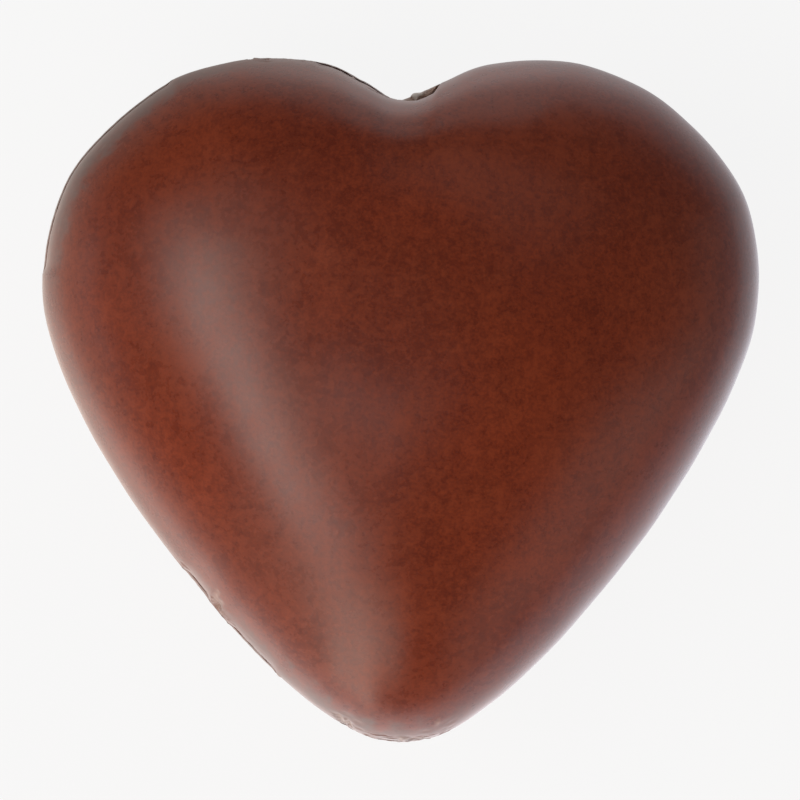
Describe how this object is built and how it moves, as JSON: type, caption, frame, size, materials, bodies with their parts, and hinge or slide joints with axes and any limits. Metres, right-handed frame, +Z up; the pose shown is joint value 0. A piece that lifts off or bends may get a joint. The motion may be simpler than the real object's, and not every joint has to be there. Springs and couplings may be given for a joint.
{
  "type": "chocolate heart",
  "caption": "Solid moulded chocolate heart, puffed on both faces, with a mould seam round its edge; a sweet to eat or decorate with.",
  "frame": {"origin": "on the plane the heart lies on, under the middle of its box", "axes": "+Z up through the shown face, +Y from the point towards the lobes, +X across the lobes"},
  "size_m": [0.036, 0.0344, 0.0177],
  "materials": {
    "chocolate": "satin moulded chocolate, faintly mottled and scuffed"
  },
  "bodies": {
    "root": {"chocolate_heart": "chocolate"}
  },
  "joints": []
}
